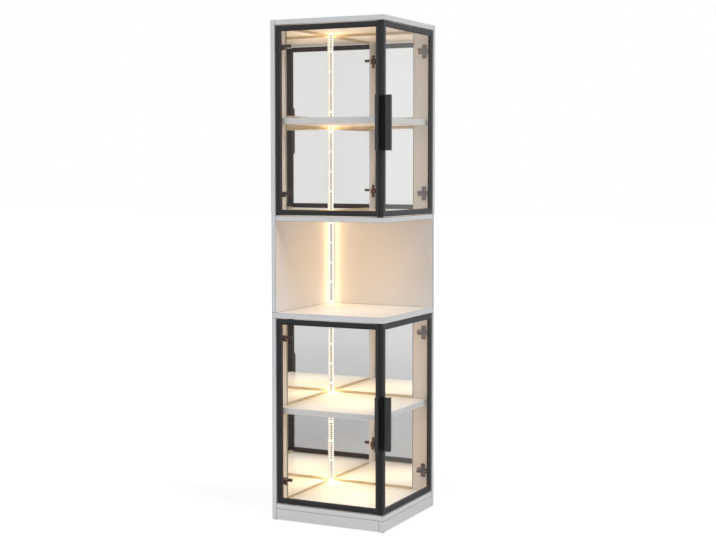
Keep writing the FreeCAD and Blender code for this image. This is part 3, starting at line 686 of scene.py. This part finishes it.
def solid_boxes(name):
    """Lowest and highest corner of each separate solid of a node, upwards, and front to back."""
    shape = bmesh.new()
    shape.from_mesh(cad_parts[name].data)
    bmesh.ops.remove_doubles(shape, verts=shape.verts[:], dist=weld_distance)
    waiting = set(shape.verts)
    boxes = []
    while waiting:
        reached = [waiting.pop()]
        for vert in reached:
            for edge in vert.link_edges:
                other = edge.other_vert(vert)
                if other in waiting:
                    waiting.discard(other)
                    reached.append(other)
        low = Vector([min(vert.co[axis] for vert in reached) for axis in range(3)])
        high = Vector([max(vert.co[axis] for vert in reached) for axis in range(3)])
        boxes.append((low, high))
    shape.free()
    return sorted(boxes, key=lambda box: (round(box[0].z, height_digits), box[0].y, box[0].x))


# The light strip: one length in each compartment, across the diagonal of the inner corner
strip_labels = ("lower", "niche", "upper")
strip_boxes = solid_boxes("light_strips")
corner_outward = Vector((1, -1, 0)).normalized()
diagonal = math.sqrt(0.5)
corner_turn = Matrix((
    (diagonal, 0, diagonal),
    (diagonal, 0, -diagonal),
    (0, 1, 0),
)).to_4x4()


def add_chip(shape, place):
    """One small lamp: a flat case with a sunk amber window."""
    made = bmesh.ops.create_cube(shape, size=1.0)["verts"]
    bmesh.ops.scale(shape, vec=(chip_width, chip_height, chip_thick), verts=made)
    faces = {face for vert in made for face in vert.link_faces}
    window = max(faces, key=lambda face: face.calc_center_median().z)
    rim = bmesh.ops.inset_region(shape, faces=[window], thickness=chip_rim, depth=0)["faces"]
    bmesh.ops.translate(shape, vec=(0, 0, -chip_window_sink), verts=window.verts)
    window.material_index = 1
    everything = list({vert for face in rim + [window] for vert in face.verts} | set(made))
    bmesh.ops.transform(shape, matrix=Matrix.Translation(place) @ corner_turn, verts=everything)


def lamp_chips():
    """A row of chips on each length of strip, with a bare cutting mark in every ninth place."""
    for label, (low, high) in zip(strip_labels, strip_boxes):
        centre = (low + high) / 2 + corner_outward * (strip_half_thick + chip_thick / 2)
        count = int((high.z - low.z) / chip_pitch)
        first = (low.z + high.z - (count - 1) * chip_pitch) / 2
        shape = bmesh.new()
        for number in range(count):
            if number % places_per_mark:
                add_chip(shape, (centre.x, centre.y, first + number * chip_pitch))
        make_piece(label + "_lamp_chips", shape, [chip_case, chip_glow], "carcass")


lamp_chips()


def paint_mirror_edge_shade():
    """Painted shade along each mirror where it meets the boards and the shelf, for the shaded board seen
    through the glass's edge.
    """
    for level in ("lower", "upper"):
        shelf_low, shelf_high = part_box(level + "_shelf")
        for side in ("left", "back"):
            low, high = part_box(level + "_" + side + "_mirror")
            spans = [
                (low[2], low[2] + edge_shade_width),
                (high[2] - edge_shade_width, high[2]),
                (shelf_high[2], shelf_high[2] + edge_shade_width),
                (shelf_low[2] - edge_shade_width, shelf_low[2]),
            ]
            shape = bmesh.new()
            for bottom, top in spans:
                if side == "left":
                    add_block(shape, (high[0], low[1], bottom), (high[0] + edge_shade_proud, high[1], top))
                else:
                    add_block(shape, (low[0], low[1] - edge_shade_proud, bottom), (high[0], low[1], top))
            name = level + "_" + side + "_mirror_edge_shade"
            make_piece(name, shape, [glass_edge_and_painted_shade], "carcass")


paint_mirror_edge_shade()


def glazing_beads():
    """Sloped beads that hold each pane in its frame, on both faces of the glass."""
    for level in ("lower", "upper"):
        for side, across, through in (("front", 0, 1), ("side", 1, 0)):
            name = level + "_" + side
            pane_low, pane_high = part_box(name + "_glass")
            left, right = pane_low[across] + pane_bite, pane_high[across] - pane_bite
            bottom, top = pane_low[2] + pane_bite, pane_high[2] - pane_bite
            beads = (
                (left, left + stile_bead_width, bottom, top),
                (right - stile_bead_width, right, bottom, top),
                (left, right, bottom, bottom + rail_bead_width),
                (left, right, top - rail_bead_width, top),
            )
            shape = bmesh.new()
            for face, outward in ((pane_low[through], -1), (pane_high[through], 1)):
                near, far = sorted((face, face + outward * bead_proud))
                for start, end, low_z, high_z in beads:
                    if across == 0:
                        add_block(shape, (start, near, low_z), (end, far, high_z), bead_slope)
                    else:
                        add_block(shape, (near, start, low_z), (far, end, high_z), bead_slope)
            make_piece(name + "_glazing_bead", shape, [bead_metal], name + "_door")


glazing_beads()


def screw_head(shape, radius, height, matrix):
    """Pan head with a cross recess, standing along its own Z."""
    made = bmesh.ops.create_grid(
        shape, x_segments=head_grid_steps, y_segments=head_grid_steps, size=head_grid_share * radius
    )["verts"]
    faces = {face for vert in made for face in vert.link_faces}
    rim = [vert for vert in made if vert.is_boundary]
    for vert in rim:
        vert.co = vert.co.normalized() * head_flat_share * radius
    reach = recess_reach_share * radius
    arms = []
    for face in faces:
        centre = face.calc_center_median()
        nearer, farther = sorted((abs(centre.x), abs(centre.y)))
        if nearer < recess_centre_share * reach and farther < reach:
            arms.append(face)
    sunk = bmesh.ops.inset_region(
        shape, faces=arms, thickness=recess_inset_share * radius, depth=-recess_depth_share * height
    )
    bmesh.ops.translate(shape, vec=(0, 0, height), verts=made)
    everything = set(made) | {vert for face in sunk["faces"] + arms for vert in face.verts}
    edges = list({edge for vert in rim for edge in vert.link_edges if edge.is_boundary})
    for share, drop in head_profile_shares:
        grown = bmesh.ops.extrude_edge_only(shape, edges=edges)["geom"]
        verts = [item for item in grown if isinstance(item, bmesh.types.BMVert)]
        edges = [item for item in grown if isinstance(item, bmesh.types.BMEdge)]
        for vert in verts:
            level = vert.co.xy.normalized() * share * radius
            vert.co = (level.x, level.y, height * (1 - drop))
        everything.update(verts)
    bmesh.ops.transform(shape, matrix=matrix, verts=list(everything))


def facing(seat, outward, turn):
    """Place and direction of something that stands on a wall at a seat, turned about its own axis."""
    aim = Vector(outward).to_track_quat("Z", "Y").to_matrix().to_4x4()
    return Matrix.Translation(seat) @ aim @ Matrix.Rotation(math.radians(turn), 4, "Z")


def add_shank(shape, seat, outward):
    """Tapered shank that runs from a seat into the wall behind it."""
    made = bmesh.ops.create_cone(
        shape, cap_ends=True, segments=16, radius1=plate_shank_tip_radius, radius2=plate_shank_radius,
        depth=plate_shank_length,
    )["verts"]
    middle = seat - Vector(outward) * plate_shank_length / 2
    bmesh.ops.transform(shape, matrix=facing(middle, outward, 0), verts=made)


def hinge_plate_screws():
    """Cross-recessed screws of the hinge plates, in place of the plain ones."""
    heads = bmesh.new()
    for number, (low, high) in enumerate(solid_boxes("plate_screws")):
        middle = (low + high) / 2
        if middle.x < 0:
            outward = (1, 0, 0)
            top = (high.x, middle.y, middle.z)
        else:
            outward = (0, -1, 0)
            top = (middle.x, low.y, middle.z)
        seat = Vector(top) - Vector(outward) * plate_screw_height
        matrix = facing(seat, outward, plate_screw_turn * number)
        screw_head(heads, plate_screw_radius, plate_screw_height, matrix)
        add_shank(heads, seat, outward)
    piece = make_piece("hinge_plate_screws", heads, [lever_metal], "carcass")
    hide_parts("plate_screws")


def hinge_setting_screws():
    """Flat cross-recessed screws that set the hinge arms on their plates."""
    setters = bmesh.new()
    for number, (low, high) in enumerate(solid_boxes("hinge_plates")):
        middle = (low + high) / 2
        turn = setting_screw_first_turn + setting_screw_turn * number
        if middle.x < 0:
            seat = (low.x + arm_face_height, high.y - arm_screw_setback, middle.z)
            matrix = facing(seat, (1, 0, 0), turn)
        else:
            seat = (low.x + arm_screw_setback, high.y - arm_face_height, middle.z)
            matrix = facing(seat, (0, -1, 0), turn)
        screw_head(setters, setting_screw_radius, setting_screw_height, matrix)
    make_piece("hinge_setting_screws", setters, [fitting_metal], "carcass")


hinge_plate_screws()
hinge_setting_screws()


# Lamps
def add_lamp(name, data):
    """A lamp that gives light and is never seen itself, in a mirror or through glass either."""
    lamp = bpy.data.objects.new(name, data)
    lamp.visible_camera = False
    lamp.visible_glossy = False
    lamp.visible_transmission = False
    bpy.context.scene.collection.objects.link(lamp)
    return lamp


def strip_lamp(name, box, power):
    """Warm, long and narrow lamp in front of one length of the light strip."""
    low, high = box
    data = bpy.data.lights.new(name, "AREA")
    data.shape = "RECTANGLE"
    data.size = strip_lamp_width
    data.size_y = high.z - low.z - strip_lamp_trim
    data.energy = power
    data.color = lamp_warm
    data.spread = math.radians(strip_lamp_spread)
    place = Matrix.Translation((low + high) / 2 + corner_outward * strip_lamp_stand)
    lamp = add_lamp(name, data)
    lamp.matrix_world = place @ (corner_turn @ Matrix.Rotation(math.pi, 4, "Y"))


for strip_label, strip_box in zip(strip_labels, strip_boxes):
    strip_lamp(strip_label + "_strip_lamp", strip_box, strip_lamp_powers[strip_label])


def bay_glow(name, bottom, top):
    """Soft light that fills a bay, as mirrors and boards spread the strip's light.

    It is warm all round, and paler straight down.
    """
    power, pale_power = bay_powers[name]
    data = bpy.data.lights.new(name, "POINT")
    data.shadow_soft_size = glow_radius
    data.energy = power
    data.color = bay_warm
    add_lamp(name, data).location = (0, 0, (bottom + top) / 2)
    pale_data = bpy.data.lights.new(name + "_pale", "AREA")
    pale_data.size = pale_lamp_side
    pale_data.energy = pale_power
    pale_data.spread = math.radians(pale_lamp_spread)
    pale_data.color = bay_pale
    add_lamp(name + "_pale", pale_data).location = (0, 0, top - pale_lamp_drop)


def bay_glows():
    """One glow in each bay between two boards, or between a board and a shelf."""
    lower_shelf, upper_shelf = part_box("lower_shelf"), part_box("upper_shelf")
    bay_glow("lower_floor_glow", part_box("base_board")[1][2], lower_shelf[0][2])
    bay_glow("lower_shelf_glow", lower_shelf[1][2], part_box("middle_board")[0][2])
    bay_glow("niche_glow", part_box("middle_board")[1][2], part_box("niche_ceiling_board")[0][2])
    bay_glow("upper_floor_glow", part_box("niche_ceiling_board")[1][2], upper_shelf[0][2])
    bay_glow("upper_shelf_glow", upper_shelf[1][2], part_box("top_board")[0][2])


bay_glows()


# Studio: pale floor, white surroundings, soft lamps
def light_path_sum(tree, names):
    """One when the ray is of any of the named kinds."""
    path = tree.nodes.new("ShaderNodeLightPath")
    total = path.outputs[names[0]]
    for name in names[1:]:
        add = tree.nodes.new("ShaderNodeMath")
        add.operation = "ADD"
        add.use_clamp = True
        tree.links.new(total, add.inputs[0])
        tree.links.new(path.outputs[name], add.inputs[1])
        total = add.outputs["Value"]
    return total


def studio_world():
    """White where it is seen, a little dimmer in mirrors, and weak as a source of light."""
    world = bpy.data.worlds.new("studio")
    bpy.context.scene.world = world
    world.use_nodes = True
    tree = world.node_tree
    ambient = tree.nodes["Background"]
    ambient.inputs["Color"].default_value = plain_white
    ambient.inputs["Strength"].default_value = ambient_strength
    path = tree.nodes.new("ShaderNodeLightPath")
    seen = tree.nodes.new("ShaderNodeBackground")
    seen.inputs["Color"].default_value = plain_white
    whiteness = mapped(tree, path.outputs["Glossy Depth"], 0.0, 1.0, 1.0, mirrored_whiteness)
    tree.links.new(whiteness, seen.inputs["Strength"])
    choice = tree.nodes.new("ShaderNodeMixShader")
    shown = light_path_sum(tree, ["Is Camera Ray", "Is Glossy Ray", "Is Transmission Ray"])
    tree.links.new(shown, choice.inputs["Fac"])
    tree.links.new(ambient.outputs["Background"], choice.inputs[1])
    tree.links.new(seen.outputs["Background"], choice.inputs[2])
    tree.links.new(choice.outputs["Shader"], tree.nodes["World Output"].inputs["Surface"])


def studio_floor():
    """Pale floor that keeps the cabinet's shadow and fades to white away from it."""
    shape = bmesh.new()
    bmesh.ops.create_grid(shape, x_segments=1, y_segments=1, size=floor_reach)
    mesh = bpy.data.meshes.new("studio_floor")
    shape.to_mesh(mesh)
    shape.free()
    floor = bpy.data.objects.new("studio_floor", mesh)
    bpy.context.scene.collection.objects.link(floor)
    material, shader = principled("studio_floor")
    tree = material.node_tree
    shader.inputs["Base Color"].default_value = floor_grey
    shader.inputs["Roughness"].default_value = 0.9
    shader.inputs["Specular IOR Level"].default_value = 0.1
    place = tree.nodes.new("ShaderNodeTexCoord")
    reach = tree.nodes.new("ShaderNodeVectorMath")
    reach.operation = "LENGTH"
    tree.links.new(place.outputs["Object"], reach.inputs[0])
    away = reach.outputs["Value"]
    direct = mapped(tree, away, *floor_fade, *floor_lift)
    mirrored = mapped(tree, away, *mirrored_fade, *mirrored_lift)
    path = tree.nodes.new("ShaderNodeLightPath")
    lift = mapped(tree, path.outputs["Glossy Depth"], 0.0, 1.0, direct, mirrored)
    shown = light_path_sum(tree, ["Is Camera Ray", "Is Glossy Ray", "Is Transmission Ray"])
    shader.inputs["Emission Color"].default_value = plain_white
    tree.links.new(product(tree, shown, lift), shader.inputs["Emission Strength"])
    mesh.materials.append(material)


def soft_sun(name, source, strength):
    """A broad, even light that comes from a direction."""
    data = bpy.data.lights.new(name, "SUN")
    data.energy = strength
    data.angle = math.radians(sun_breadth)
    add_lamp(name, data).rotation_euler = Vector(source).to_track_quat("Z", "Y").to_euler()


studio_world()
studio_floor()
for sun_name, sun_source, sun_strength in suns:
    soft_sun(sun_name, sun_source, sun_strength)


def photo_camera():
    """Camera of the photograph, found from its edges."""
    data = bpy.data.cameras.new("photo_camera")
    data.sensor_width = sensor_width
    data.lens = focal_pixels * data.sensor_width / photo_width
    camera = bpy.data.objects.new("photo_camera", data)
    camera.location = camera_place
    camera.rotation_euler = [math.radians(angle) for angle in camera_angles]
    bpy.context.scene.collection.objects.link(camera)
    bpy.context.scene.camera = camera


photo_camera()
bpy.context.scene.view_settings.view_transform = "Standard"
